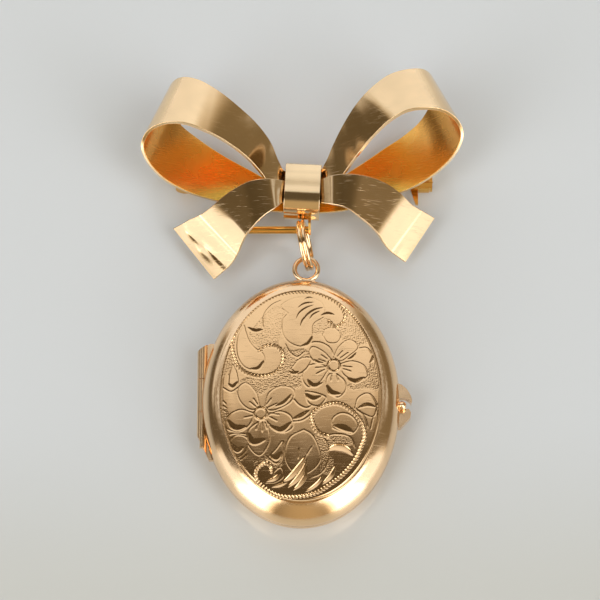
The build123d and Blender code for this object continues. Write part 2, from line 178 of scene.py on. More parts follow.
# %% Paint the World by direction
def paint_world():
    world = bpy.data.worlds.new("studio")
    bpy.context.scene.world = world
    world.use_nodes = True
    g = Graph(world.node_tree)
    direction = g.add("ShaderNodeTexCoord")["Generated"]
    xyz = g.add("ShaderNodeSeparateXYZ", inputs=[direction])
    x, y, z = xyz["X"], xyz["Y"], xyz["Z"]
    turn = x.maths("ARCTAN2", y) * (180 / math.pi)
    rise = z.maths("ARCSINE") * (180 / math.pi)
    aside = turn.maths("ABSOLUTE")
    right = x.between(-0.35, 0.35)
    left = 1 - right
    backdrop = backdrop_shape(aside, rise, left, right)
    lamps = lamp_shape(aside, rise, left)
    wall = wall_shape(aside, rise, left, right, g.noise(direction, clutter_scale))
    # A plain wall behind the viewer
    behind = aside.between(140, 170) * rise.between(85, 60)
    # A lamp is brightest in its upper part and on the viewer's side
    core = rise.between(45, 53).maths("MAXIMUM", aside.between(113, 118))
    lamp_level = lamp_strength + core * lamp_core_strength
    # The rest of the room is dim, a little less so on the right, and dimmest high overhead
    gloom = gloom_strength - rise.between(60, 74) * 0.035 + right * (0.09 - rise.between(50, 66) * 0.07)
    strength = gloom + backdrop * backdrop_strength + lamps * lamp_level + behind * behind_strength
    strength = strength + wall * (wall_strength + left * left_wall_strength)
    lit = (backdrop + lamps + wall).maths("MINIMUM", 1.0)
    colour = g.blend(lit, gloom_colour, lit_colour)
    light = g.add("ShaderNodeBackground", inputs={"Color": colour, "Strength": strength})
    g.add("ShaderNodeOutputWorld", inputs={"Surface": light["Background"]})
    return len(world.node_tree.nodes)


node_count = paint_world()
print("the World is painted with", node_count, "nodes")

# %% [markdown]
# ## The table
#
# The brooch lies on a pale glossy sheet. A large plane with a thin clear gloss over a near-white
# base shows the soft shadows and a faint mirror image of the locket. Its colour is painted a little
# cooler and lighter beyond the locket and darker and warmer before it, as painted light and shade.

# %% Make the table
table_size = 2.0
table_roughness = 0.07
far_sheet_painted_light = (0.66, 0.695, 0.72)
near_sheet_painted_shade = (0.62, 0.635, 0.61)


def make_table():
    mesh = bpy.data.meshes.new("table")
    shape = bmesh.new()
    bmesh.ops.create_grid(shape, x_segments=1, y_segments=1, size=table_size / 2)
    shape.to_mesh(mesh)
    shape.free()
    table = bpy.data.objects.new("table", mesh)
    bpy.context.scene.collection.objects.link(table)
    material = bpy.data.materials.new("pale_sheet")
    material.use_nodes = True
    g = Graph(material.node_tree)
    place = g.add("ShaderNodeSeparateXYZ", inputs=[g.add("ShaderNodeTexCoord")["Object"]])
    # Painted light and shade: lighter and cooler beyond the locket, darker and warmer before it
    colour = g.blend(place["Y"].between(0.0, -25 * mm), far_sheet_painted_light, near_sheet_painted_shade)
    inputs = {"Base Color": colour, "Roughness": table_roughness}
    shader = g.add("ShaderNodeBsdfPrincipled", inputs=inputs)
    g.add("ShaderNodeOutputMaterial", inputs={"Surface": shader["BSDF"]})
    mesh.materials.append(material)


make_table()
print("the table is", table_size, "m wide")

# %% [markdown]
# ## Gold
#
# Gold with some copper in it is a warm yellow, and darkens to orange where it reflects itself. Here
# that orange is also painted into the colour: as painted reflection inside the loops, and as painted
# shade on the small parts. It has fine wiping scratches in every direction and a slight unevenness
# from polishing. Both are left to the bump, since they are far finer than any mesh.

# %% Scratch the polish
scratch_turns = (0.5, 1.2, 2.0, 2.7)
scratch_stretch = (420.0, 17000.0, 420.0)


def scratches(g, place):
    """Hairlines in four directions, as 0 on the polish and 1 in a scratch."""
    marks = None
    for angle in scratch_turns:
        inputs = {"Vector": place, "Rotation": (0.0, 0.0, angle), "Scale": scratch_stretch}
        turned = g.add("ShaderNodeMapping", inputs=inputs)["Vector"]
        line = g.noise(turned, 1.0, detail=1.0).between(0.69, 0.80)
        marks = line if marks is None else marks.maths("MAXIMUM", line)
    return marks


print("the polish has scratches in", len(scratch_turns), "directions")


# %% The scale and strength of its marks
ripple_scale = 260.0
grain_scale = 3200.0
punch_scale = 5200.0
punch_height = 0.35
bump_depth = 0.02 * mm
scratch_roughness = 0.08
ripple_roughness = 0.05
cut_colour = (0.40, 0.22, 0.08)
cut_darkness = 0.5
dull_share = 0.93
# Where along a loop's strip the painted reflection of the bend fades out, as shares of its length
painted_reflection_end = (0.60, 0.80)
print("the ripples are about", round(1 / ripple_scale / mm, 1), "mm apart")


# %% Mix a gold
def attribute(g, name):
    return g.add("ShaderNodeAttribute", {"attribute_name": name})["Fac"]


def gold(name, colour, roughness, scratch, ripple, grain=0.0, engraved=False, painted_bend_reflection=None):
    """A gold; scratch, ripple and grain say how much each of them stands out in the bump."""
    material = bpy.data.materials.new(name)
    material.use_nodes = True
    g = Graph(material.node_tree)
    place = g.add("ShaderNodeTexCoord")["Object"]
    broad = g.noise(place, ripple_scale)
    marks = scratches(g, place)
    height = broad * ripple + marks * scratch + g.noise(place, grain_scale) * grain
    if painted_bend_reflection:
        # Painted reflection: a loop's inside reflects itself up to the bend, so it is painted more
        # orange
        tint = g.blend(attribute(g, "along").between(*painted_reflection_end), painted_bend_reflection, colour)
    else:
        dull = tuple(dull_share * part for part in colour)
        tint = g.blend(broad.between(0.3, 0.7), colour, dull)
    if engraved:
        # The ground is punched with small dots, and the deep cuts are dark with old polish
        dots = g.add("ShaderNodeTexVoronoi", inputs={"Vector": place, "Scale": punch_scale})["Distance"]
        height = height + dots * attribute(g, "ground") * punch_height
        tint = g.blend(attribute(g, "depth") * cut_darkness, tint, cut_colour)
    inputs = {"Height": height, "Distance": bump_depth, "Strength": 1.0}
    bump = g.add("ShaderNodeBump", inputs=inputs)["Normal"]
    rough = roughness + marks * scratch_roughness + broad.between(0.35, 0.75) * ripple_roughness
    inputs = {"Base Color": tint, "Metallic": 1.0, "Roughness": rough, "Normal": bump}
    shader = g.add("ShaderNodeBsdfPrincipled", inputs=inputs)
    g.add("ShaderNodeOutputMaterial", inputs={"Surface": shader["BSDF"]})
    return material


# %% Six golds, one of them with painted reflection and one with painted shade
ribbon_gold = gold("ribbon_gold", (0.97, 0.71, 0.42), roughness=0.09, scratch=0.08, ripple=0.15)
# The loops' inner faces: a rougher, grainy finish, with a deeper orange painted in as painted
# reflection
inner_gold_painted_reflection = gold(
    "inner_gold_painted_reflection", (0.97, 0.66, 0.13), roughness=0.25, scratch=0.05, ripple=0.3, grain=0.7,
    painted_bend_reflection=(0.98, 0.52, 0.14),
)
# A darker, more orange gold: painted shade for the small parts that lie in shade
painted_shade_gold = gold("painted_shade_gold", (0.90, 0.52, 0.14), roughness=0.10, scratch=0.1, ripple=0.3)
knot_gold = gold("knot_gold", (0.98, 0.74, 0.45), roughness=0.12, scratch=0.02, ripple=0.1)
locket_gold = gold("locket_gold", (0.98, 0.70, 0.43), roughness=0.13, scratch=0.06, ripple=0.9)
plate_gold = gold(
    "plate_gold", (0.97, 0.64, 0.34), roughness=0.08, scratch=0.04, ripple=0.1, engraved=True,
)
print("six golds are mixed")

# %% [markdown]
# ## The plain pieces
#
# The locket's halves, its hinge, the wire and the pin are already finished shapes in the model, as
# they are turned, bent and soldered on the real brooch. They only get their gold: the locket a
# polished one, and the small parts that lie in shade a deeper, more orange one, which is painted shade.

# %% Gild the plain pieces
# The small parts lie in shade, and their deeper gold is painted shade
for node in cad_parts.values():
    for place in node.material_slots:
        place.material = locket_gold if node.name.startswith("locket") else painted_shade_gold
print(len(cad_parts), "pieces of the model have their gold")

# %% [markdown]
# ## Sheets of metal from a grid
#
# Most of the brooch is thin sheet that was cut flat and then formed. The same is done here: a flat
# square grid is made first, and a forming function says where each of its points ends up.

# %% Form a grid into a sheet
def form_sheet(name, across, along, form, material, body):
    """Makes a grid and moves its points to form(u, v), given in mm, with u and v from 0 to 1."""
    shape = bmesh.new()
    bmesh.ops.create_grid(shape, x_segments=across, y_segments=along, size=0.5)
    mesh = bpy.data.meshes.new(name)
    shape.to_mesh(mesh)
    shape.free()
    flat = np.zeros(len(mesh.vertices) * 3)
    mesh.vertices.foreach_get("co", flat)
    flat = flat.reshape(-1, 3)
    formed = form(flat[:, 0] + 0.5, flat[:, 1] + 0.5) * mm
    mesh.vertices.foreach_set("co", formed.ravel())
    mesh.materials.append(material)
    piece = bpy.data.objects.new(name, mesh)
    bpy.context.scene.collection.objects.link(piece)
    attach(piece, body)
    return piece


# %% Close, smooth and thicken a sheet
weld_distance = 0.002
soft_edge = 0.07


def weld(mesh):
    """Joins points that meet, and turns the faces outwards."""
    shape = bmesh.new()
    shape.from_mesh(mesh)
    bmesh.ops.remove_doubles(shape, verts=shape.verts, dist=weld_distance * mm)
    bmesh.ops.recalc_face_normals(shape, faces=shape.faces)
    shape.to_mesh(mesh)
    shape.free()


def shade_smooth(mesh):
    mesh.polygons.foreach_set("use_smooth", [True] * len(mesh.polygons))


def keep_values(mesh, name, values):
    """Stores a value for each point, for a material to read."""
    layer = mesh.attributes.new(name, "FLOAT", "POINT")
    layer.data.foreach_set("value", values)


def thicken(piece, name, thickness):
    """Gives a sheet its thickness, half of it to each side, and breaks its sharp edges."""
    wall = piece.modifiers.new(name, "SOLIDIFY")
    wall.thickness = thickness * mm
    wall.offset = 0
    edge = piece.modifiers.new("soft edge", "BEVEL")
    edge.width = soft_edge * mm
    edge.segments = 2
    edge.harden_normals = True
    return wall


# %% Draw a smooth curve through points
def smooth(points, step):
    """A smooth curve through the points, with a point about every step."""
    points = np.array(points, dtype=float)
    gaps = np.linalg.norm(np.diff(points[:, :3], axis=0), axis=1)
    place = np.concatenate([[0], np.cumsum(gaps)])
    slope = np.gradient(points, place, axis=0)
    fine = np.linspace(0, place[-1], max(2, round(place[-1] / step) + 1))
    index = np.clip(np.searchsorted(place, fine, side="right") - 1, 0, len(place) - 2)
    span = (place[index + 1] - place[index])[:, None]
    t = (fine - place[index])[:, None] / span
    before, after = points[index], points[index + 1]
    curve = (2 * t**3 - 3 * t**2 + 1) * before + (3 * t**2 - 2 * t**3) * after
    curve += (t**3 - 2 * t**2 + t) * span * slope[index] + (t**3 - t**2) * span * slope[index + 1]
    return curve


# %% [markdown]
# ## The engraved plate
#
# The engraver left the petals and leaves polished, cut their outlines with a V-shaped graver,
# shaded them with wide slanting cuts that catch dark or light, and roughened the ground between
# them. A wriggle cut runs round the scrolls. Each kind of cut is a curve here, in millimetres on
# the plate, and lowers the points of a fine grid that lie near it.

# %% The plate before engraving
locket_half = np.array([10.87, 14.2])
plate_inset = 1.89
plate_foot = 5.8
plate_lift = 0.09
plate_half = locket_half - plate_inset
# How far in a point lies, as a share of the plate's half width, and how high the plate is there
dome_steps = np.array([[0, 0], [0.16, 0.09], [0.42, 0.164], [0.74, 0.2], [1.0, 0.205]])
dome_rounds = 18


def dome(x, y):
    """Height of the domed plate's face, found from the ring of the plate that x, y lies on."""
    near, far = np.zeros(len(x)), np.full(len(x), plate_half[0] - 0.001)
    for _ in range(dome_rounds):
        inset = (near + far) / 2
        inside = (x / (plate_half[0] - inset)) ** 2 + (y / (plate_half[1] - inset)) ** 2 < 1
        near, far = np.where(inside, inset, near), np.where(inside, far, inset)
    curve = smooth(dome_steps, 0.01)
    return plate_foot + np.interp(near / plate_half[0], curve[:, 0], curve[:, 1]), near


print("the plate is", *(2 * plate_half).round(2), "mm")

# %% The plate under the graver
Stroke = namedtuple("Stroke", "points distance side place length")
path_step = 0.05
path_slack = 0.03
path_part = 24
far_off = 9.0


class Engraving:
    """The points of the plate, how deep each of them is cut and where the ground is rough."""

    def __init__(self, x, y):
        self.points = np.stack([x, y], axis=1)
        self.cut = np.zeros(len(x))
        self.ground = np.zeros(len(x))

    def near(self, path, reach):
        """The points near a smooth path, with their distance, signed side and place along it."""
        line = smooth(path, path_step)
        ahead = np.gradient(line, axis=0)
        ahead /= np.linalg.norm(ahead, axis=1)[:, None]
        length = np.concatenate([[0], np.cumsum(np.linalg.norm(np.diff(line, axis=0), axis=1))])
        best = np.full(len(self.points), far_off)
        side, place = np.zeros(len(self.points)), np.zeros(len(self.points))
        # The path is taken in short parts, each of which has few points near it
        for start in range(0, len(line), path_part):
            part = line[start:start + path_part]
            inside = (self.points > part.min(0) - reach) & (self.points < part.max(0) + reach)
            chosen = np.nonzero(inside.all(axis=1))[0]
            gap = self.points[chosen, None, :] - part[None, :, :]
            nearest = (gap**2).sum(axis=2).argmin(axis=1)
            gap = gap[np.arange(len(chosen)), nearest]
            tangent = ahead[start + nearest]
            across = tangent[:, 0] * gap[:, 1] - tangent[:, 1] * gap[:, 0]
            onward = (tangent * gap).sum(axis=1)
            beyond = np.maximum(np.abs(onward) - path_slack, 0)
            distance = np.hypot(across, beyond)
            closer = distance < best[chosen]
            best[chosen[closer]] = distance[closer]
            side[chosen[closer]] = across[closer]
            place[chosen[closer]] = length[start + nearest[closer]] + onward[closer]
        near = best < reach
        along = np.clip(place[near] / length[-1], 0, 1)
        return Stroke(near, best[near], side[near], along, length[-1])

    def carve(self, stroke, depth):
        self.cut[stroke.points] = np.maximum(self.cut[stroke.points], depth)


# %% Three kinds of cut
def cut_line(work, path, width=0.09, depth=0.018, taper=0.5):
    """A V-shaped cut, finer towards its ends."""
    stroke = work.near(path, width)
    from_end = np.minimum(stroke.place, 1 - stroke.place)
    swell = np.minimum(1, from_end * 6 + (1 - taper))
    work.carve(stroke, depth * swell * np.clip(1 - stroke.distance / (width * swell), 0, 1))


def cut_crescent(work, path, width, depth, deep):
    """A wide slanting cut, deepest on its right (deep -1) or left (1) side, pointed at both ends."""
    stroke = work.near(path, width)
    swell = np.sin(np.pi * stroke.place) ** 0.75 + 0.001
    level = stroke.side * deep / (width * swell)
    slant = np.clip((level + 1) / 2, 0, 1) * np.clip((1 - level) * 4, 0, 1)
    work.carve(stroke, depth * swell * slant * (stroke.distance < width * swell))


def cut_wriggle(work, path, width=0.23, pitch=0.38, depth=0.07, slant=0.8):
    """A rocking cut that leaves a row of slanting beads."""
    stroke = work.near(path, width)
    turn = 2 * np.pi * (stroke.place * stroke.length + stroke.side * slant) / pitch
    bead = 0.5 + 0.5 * np.cos(turn)
    work.carve(stroke, depth * bead**1.5 * np.clip(1.6 * (1 - stroke.distance / width), 0, 1))


# %% Rough ground and polished petals
def inside(work, outline):
    """Which points lie inside a closed outline."""
    line = smooth([*outline, outline[0]], 0.2)
    x, y = work.points.T
    crossed = np.zeros(len(x), dtype=bool)
    for (x1, y1), (x2, y2) in zip(line, np.roll(line, -1, axis=0)):
        if y1 != y2:
            crossed ^= ((y1 > y) != (y2 > y)) & (x < (x2 - x1) * (y - y1) / (y2 - y1) + x1)
    return crossed


def polish_petal(work, outline, rise=0.030, shoulder=0.45, width=0.08, depth=0.013):
    """A polished leaf: no ground inside it, a slightly swollen face and a cut outline."""
    petal = inside(work, outline)
    work.ground[petal] = 0.0
    closed = [*outline, outline[0]]
    stroke = work.near(closed, shoulder)
    swell = np.zeros(len(work.points))
    swell[petal] = 1.0
    swell[stroke.points] *= np.sin(np.pi / 2 * np.clip(stroke.distance / shoulder, 0, 1))
    work.cut -= rise * swell
    stroke = work.near(closed, width)
    work.carve(stroke, depth * (1 - stroke.distance / width))


def cut_flower_centre(work, centre, radius=0.66, width=0.12, depth=0.05):
    """A round cut about the middle of a flower, and polished metal inside it."""
    turns = np.linspace(0, 2 * math.pi, 13)
    ring = [(centre[0] + radius * math.cos(t), centre[1] + radius * math.sin(t)) for t in turns]
    stroke = work.near(ring, width)
    work.carve(stroke, depth * (1 - stroke.distance / width))
    x, y = work.points.T
    work.ground[np.hypot(x - centre[0], y - centre[1]) < radius] = 0


# %% [markdown]
# ## The engraver's drawing
#
# An engraver pricks the design through paper and then cuts along it by eye. These tables are that
# paper: each row is one stroke or one outline, by a few points in millimetres from the middle of
# the plate, across and up. The curve through them is drawn by `smooth`.

# %% The two wriggled borders
upper_border = [
    (-4.5, 5.0), (-4.15, 5.4), (-3.4, 5.6), (-2.6, 5.45), (-2.1, 4.9), (-1.95, 3.9), (-2.3, 2.95),
    (-3.1, 2.3), (-4.15, 2.05), (-5.2, 2.15), (-6.15, 2.55), (-6.9, 3.25), (-7.35, 4.4), (-7.6, 5.5),
    (-7.35, 6.7), (-6.75, 8.1), (-5.7, 9.4), (-4.9, 10.1), (-3.55, 11.0), (-2.6, 11.45), (-1.4, 11.75),
    (0.4, 11.85), (1.95, 11.7), (2.9, 11.3), (4.1, 10.55), (4.7, 9.75), (4.9, 8.95), (4.5, 8.15),
    (3.8, 7.8), (3.1, 8.45),
]
lower_border = [
    (2.9, -4.8), (1.95, -4.45), (1.35, -3.6), (1.2, -2.5), (1.8, -1.7), (2.9, -1.2), (4.1, -1.1),
    (5.3, -1.7), (6.2, -2.65), (6.8, -3.9), (6.9, -4.9), (6.5, -6.1), (6.05, -7.2), (5.3, -8.3),
    (4.4, -9.3), (3.2, -10.25), (1.9, -11.1), (0.4, -11.55), (-1.1, -11.7), (-2.6, -11.5),
    (-3.85, -10.75), (-4.75, -9.8), (-4.9, -9.0), (-4.5, -8.2), (-3.85, -7.85), (-3.3, -8.15),
    (-3.25, -8.8),
]
print("the borders turn through", len(upper_border) + len(lower_border), "points")

# %% The patches of rough ground
grounds = [
    [(-5.7, 7.0), (-3.9, 9.3), (-2.6, 10.2), (-1.9, 9.8), (-2.0, 8.6), (-2.3, 6.7), (-2.6, 5.6),
     (-4.5, 5.4), (-5.4, 6.2)],
    [(1.5, 8.6), (2.3, 8.9), (3.0, 8.6), (3.6, 7.8), (4.8, 8.6), (5.0, 10.2), (6.2, 9.6),
     (7.3, 8.1), (7.9, 6.5), (6.5, 5.7), (4.7, 6.2), (3.5, 7.5), (2.4, 7.0), (1.3, 7.0)],
    [(-8.3, 5.7), (-7.7, 6.2), (-7.4, 4.4), (-6.9, 3.1), (-8.0, 2.8), (-8.7, 1.8), (-8.5, 3.8)],
    [(-3.9, 2.0), (-2.0, 2.9), (-1.4, 3.1), (-0.2, 2.1), (0.0, 0.8), (-1.9, 0.7), (-3.5, 0.5),
     (-4.5, -0.1), (-5.7, 1.2), (-6.6, 1.5), (-5.4, 2.0)],
    [(7.9, 4.4), (8.5, 2.1), (8.6, 0.5), (7.1, 0.7), (5.8, 0.5), (5.1, 0.8), (6.9, 1.9)],
    [(-8.8, -1.0), (-7.9, -2.3), (-8.4, -3.6), (-7.8, -4.8), (-8.0, -6.1), (-7.2, -8.0),
     (-5.7, -9.4), (-4.6, -10.6), (-6.5, -9.3), (-8.0, -6.9), (-8.8, -3.8)],
    [(-5.2, -7.7), (-4.1, -7.2), (-3.2, -7.4), (-2.0, -8.0), (-2.4, -8.5), (-3.6, -7.6), (-4.9, -8.4)],
    [(1.5, -4.6), (2.9, -5.0), (4.7, -4.5), (5.6, -5.6), (3.5, -6.1), (2.9, -6.7), (3.5, -7.5),
     (2.9, -9.1), (2.2, -8.8), (2.3, -7.2)],
    [(-1.0, 1.9), (0.2, 2.0), (0.9, 3.0), (1.0, 4.6), (0.3, 5.2), (-0.9, 5.0), (-1.7, 5.4),
     (-1.9, 3.6)],
]
print(len(grounds), "patches are roughened")

# %% The petals and leaves
petals = [
    # The flower on the right
    [(3.3, 4.0), (2.3, 5.0), (1.2, 5.4), (0.9, 4.7), (1.4, 3.8), (2.8, 3.2)],
    [(3.6, 4.2), (4.2, 5.5), (5.4, 6.3), (6.3, 5.5), (5.4, 4.5), (4.2, 3.8)],
    [(4.4, 3.5), (5.6, 3.8), (7.0, 3.2), (7.3, 2.1), (6.0, 1.6), (4.5, 2.5)],
    [(3.8, 2.4), (4.8, 1.4), (4.9, 0.5), (4.0, -0.4), (3.1, 0.3), (2.8, 1.4), (3.2, 2.3)],
    [(2.9, 2.6), (2.0, 1.3), (0.8, 0.8), (0.2, 1.6), (0.4, 2.9), (1.3, 3.4), (2.7, 3.1)],
    # The flower on the left
    [(-4.5, -1.4), (-5.0, 0.3), (-6.1, 1.3), (-6.9, 0.6), (-6.7, -0.7), (-5.1, -1.8)],
    [(-3.9, -1.4), (-3.4, 0.2), (-2.0, 0.9), (-0.8, 0.5), (-0.9, -0.6), (-2.0, -1.5), (-3.6, -1.8)],
    [(-3.5, -2.4), (-2.3, -2.0), (-1.1, -2.6), (-0.9, -3.8), (-1.9, -4.4), (-3.2, -3.7), (-3.8, -2.9)],
    [(-4.5, -3.1), (-5.7, -4.2), (-5.8, -5.6), (-4.5, -7.0), (-3.5, -5.6), (-3.5, -4.1), (-3.9, -3.0)],
    [(-5.2, -2.2), (-6.6, -1.8), (-7.8, -2.4), (-8.4, -3.6), (-6.9, -4.3), (-5.4, -3.2)],
    # The leaf at the top, the comma leaves and the bud
    [(-1.4, 9.4), (-2.0, 8.6), (-2.1, 7.5), (-1.6, 6.3), (-0.8, 5.7), (0.3, 5.5), (1.2, 6.5),
     (1.4, 8.1), (2.7, 9.2), (2.3, 10.6), (0.1, 11.3), (-1.2, 11.0), (-2.2, 10.2)],
    [(-6.1, 7.3), (-5.7, 6.2), (-4.9, 5.2), (-4.4, 4.9), (-4.0, 4.2), (-4.3, 3.3), (-5.1, 2.8),
     (-6.1, 3.1), (-6.8, 4.0), (-7.1, 5.6), (-6.8, 7.2), (-6.3, 8.0)],
    [(3.5, -3.9), (3.5, -2.8), (4.4, -2.2), (5.5, -2.5), (6.2, -3.7), (5.6, -4.5), (4.5, -4.3)],
    [(2.4, 6.8), (2.7, 7.5), (3.7, 7.6), (4.4, 6.8), (4.0, 6.0), (2.9, 6.0)],
    [(-1.1, 2.9), (0.0, 4.1), (1.1, 4.1), (0.6, 2.9), (-0.4, 2.3)],
    # The leaves between the flowers and round the edge
    [(0.5, 0.3), (1.6, 0.1), (2.7, -0.4), (1.8, -1.4), (0.9, -1.1)],
    [(-7.9, 2.2), (-7.5, 3.4), (-7.0, 2.2), (-7.0, 1.2), (-7.8, 1.0)],
    [(5.9, -1.6), (6.3, -0.4), (7.3, 0.1), (8.2, -0.9), (7.8, -2.6), (6.9, -2.3)],
    [(0.3, -4.1), (-1.1, -4.9), (-1.7, -6.5), (-1.3, -8.3), (-0.2, -9.2), (1.2, -8.7),
     (2.1, -7.5), (1.9, -6.1), (1.0, -4.5)],
    [(-7.9, -5.4), (-7.0, -4.7), (-5.9, -5.0), (-6.0, -6.5), (-6.9, -7.2), (-7.8, -6.5)],
    [(-3.7, -7.4), (-2.6, -6.2), (-2.0, -5.4), (-1.9, -6.6), (-2.4, -7.9)],
    [(-3.8, -10.1), (-2.7, -10.0), (-1.9, -9.3), (-2.2, -8.4), (-2.9, -8.9), (-3.2, -9.6)],
]
flower_centres = [(3.62, 3.26), (-4.38, -2.25)]
print(len(petals), "petals and leaves stay polished")

# %% The dark shading cuts
# Crescents facing the viewer look dark: each is its path, its half width and its depth
dark_cuts = [
    ([(-5.9, 7.8), (-5.1, 7.4), (-4.1, 7.5)], 0.22, 0.075),
    ([(0.0, 5.55), (0.7, 5.8), (1.3, 6.8)], 0.20, 0.06),
    ([(-5.6, 2.95), (-4.8, 2.95), (-4.05, 3.9)], 0.20, 0.06),
    ([(2.1, 9.1), (2.9, 9.4), (3.8, 9.2)], 0.18, 0.06),
    ([(5.0, 1.9), (5.9, 1.5), (7.0, 2.0)], 0.26, 0.085),
    ([(2.8, 1.1), (3.3, 0.2), (4.4, 0.0)], 0.28, 0.085),
    ([(0.7, 1.7), (1.3, 1.0), (2.4, 1.3)], 0.24, 0.075),
    ([(5.0, 4.0), (5.5, 4.2), (6.1, 4.9)], 0.16, 0.05),
    ([(1.4, 4.0), (1.9, 3.7), (2.6, 3.6)], 0.16, 0.05),
    ([(7.5, 3.6), (7.8, 4.0), (7.9, 4.6)], 0.14, 0.05),
    ([(-1.3, 2.6), (-0.8, 2.4), (-0.2, 2.6)], 0.16, 0.06),
    ([(-8.0, 1.3), (-7.5, 0.9), (-6.9, 1.5)], 0.2, 0.07),
    ([(0.4, 0.1), (1.3, -0.5), (2.3, -0.2)], 0.26, 0.085),
    ([(6.2, -1.6), (7.3, -1.2), (8.2, -1.5)], 0.22, 0.075),
    ([(-8.0, -2.9), (-7.2, -3.8), (-5.9, -3.7)], 0.34, 0.10),
    ([(-5.7, -4.4), (-5.3, -5.4), (-3.8, -5.2)], 0.36, 0.10),
    ([(-3.5, -3.6), (-2.2, -4.1), (-1.0, -3.2)], 0.3, 0.09),
    ([(-3.0, -1.5), (-1.9, -1.0), (-1.0, 0.0)], 0.18, 0.06),
    ([(-0.9, -2.9), (0.0, -2.5), (0.9, -1.9)], 0.24, 0.09),
    ([(3.6, -3.6), (4.7, -3.9), (5.7, -4.4)], 0.34, 0.10),
    ([(-7.6, -5.6), (-6.9, -6.4), (-6.2, -6.0)], 0.3, 0.08),
    ([(-3.4, -6.9), (-2.7, -7.3), (-2.1, -6.6)], 0.3, 0.08),
    # Hatching of the top leaf
    ([(-0.5, 9.9), (0.3, 10.5), (1.6, 10.7)], 0.13, 0.05),
    ([(-0.6, 8.5), (-0.2, 9.4), (0.7, 10.1), (1.6, 10.4)], 0.13, 0.05),
    ([(0.1, 8.1), (0.6, 9.1), (1.5, 9.8), (2.7, 10.1)], 0.15, 0.06),
    ([(0.9, 8.6), (1.3, 9.2), (2.2, 9.7)], 0.13, 0.05),
    ([(-0.1, 7.7), (0.2, 8.6), (0.8, 9.3)], 0.12, 0.05),
    ([(0.3, 11.0), (0.8, 11.25), (1.4, 11.2)], 0.12, 0.05),
]
print(len(dark_cuts), "slanting cuts look dark")

# %% The bright shading cuts
# Cuts whose wide side faces away from the viewer look bright on the lower part of the plate
bright_cuts = [
    ([(2.9, -6.5), (3.6, -6.1), (4.7, -6.2), (5.7, -7.0)], 0.36, 0.11),
    ([(-2.1, -10.2), (-1.1, -9.4), (-0.2, -8.3), (0.6, -7.0)], 0.28, 0.10),
    ([(-1.5, -10.7), (-0.6, -9.9), (0.2, -8.8), (0.7, -7.4)], 0.26, 0.10),
    ([(-0.9, -11.0), (-0.2, -10.4), (0.4, -9.5), (0.7, -8.2)], 0.24, 0.09),
    ([(-3.3, -10.6), (-2.3, -10.4), (-1.4, -10.0)], 0.18, 0.06),
    ([(2.3, -10.3), (3.2, -9.4), (3.8, -8.1)], 0.24, 0.08),
    ([(0.3, -11.2), (1.2, -10.7), (2.1, -9.8), (2.4, -9.0)], 0.18, 0.06),
    ([(-3.9, -10.0), (-2.9, -9.7), (-2.2, -9.0)], 0.22, 0.07),
]
print(len(bright_cuts), "slanting cuts look bright")

# %% The fine lines
lines = [
    # Stems and leaf outlines
    [(-2.0, 11.0), (-3.2, 10.4), (-4.0, 9.4), (-4.2, 8.1), (-4.1, 7.6)],
    [(-1.7, 5.8), (-1.2, 4.8), (-0.4, 4.3), (0.4, 4.9)],
    [(-8.6, 0.8), (-7.6, 0.3), (-6.8, 0.8)],
    [(0.4, 5.3), (1.1, 5.9), (2.3, 5.9), (3.2, 5.3), (3.6, 4.5)],
    [(6.3, 5.3), (7.2, 5.4), (7.9, 4.6)],
    [(2.3, -4.9), (4.1, -4.6), (5.3, -4.9), (5.9, -6.1)],
    [(2.3, -4.7), (3.0, -6.1), (3.0, -7.6), (2.2, -9.0), (1.0, -9.6)],
    [(-0.9, -0.5), (0.0, -1.4), (0.7, -1.6), (1.2, -1.3)],
    [(-1.0, -3.2), (0.2, -3.0), (1.1, -2.4)],
    [(-3.9, -7.0), (-2.6, -7.9), (-2.0, -6.9), (-2.0, -5.4)],
    [(-8.3, -4.8), (-7.2, -4.5), (-6.0, -4.6)], [(-7.9, -6.9), (-6.6, -7.5), (-5.8, -6.9)],
    [(-7.2, -7.7), (-6.2, -8.3), (-5.4, -9.2)], [(-0.2, -6.2), (-0.3, -7.4)],
    [(1.2, -6.0), (0.6, -7.0)],
    # Veins of the petals
    [(2.9, 4.0), (2.2, 4.5)], [(2.7, 3.7), (1.9, 4.0)], [(4.0, 4.3), (4.6, 5.0)],
    [(4.3, 4.1), (5.2, 4.8)], [(4.6, 3.2), (5.6, 3.1)], [(4.6, 2.9), (5.5, 2.6)],
    [(3.9, 2.3), (4.1, 1.5)], [(3.4, 2.3), (3.3, 1.5)], [(2.6, 2.8), (1.7, 2.3)],
    [(2.6, 3.1), (1.6, 3.0)], [(-4.7, -1.3), (-5.2, -0.5)], [(-4.9, -1.5), (-5.6, -0.9)],
    [(-3.8, -1.3), (-3.2, -0.5)], [(-3.6, -1.6), (-2.6, -1.1)], [(-3.4, -2.2), (-2.4, -2.4)],
    [(-3.5, -2.6), (-2.6, -3.1)], [(-4.2, -3.1), (-4.2, -4.3)], [(-4.6, -3.2), (-4.9, -4.1)],
    [(-5.2, -2.5), (-6.2, -2.7)], [(-3.9, -3.2), (-3.7, -4.0)],
    # Hatching on the ground near the edge
    [(-8.7, -0.6), (-8.2, -1.1)], [(-8.8, -1.1), (-8.1, -1.6)], [(-8.8, -1.6), (-8.2, -2.0)],
    [(-7.9, -6.9), (-7.3, -7.7)], [(-7.6, -7.4), (-7.0, -8.2)], [(-7.3, -7.9), (-6.6, -8.7)],
    [(6.0, -1.8), (6.8, -2.4), (7.3, -3.8)], [(7.9, -2.6), (7.6, -4.0)], [(8.3, -1.0), (8.4, -2.4)],
]
print(len(lines), "fine lines")


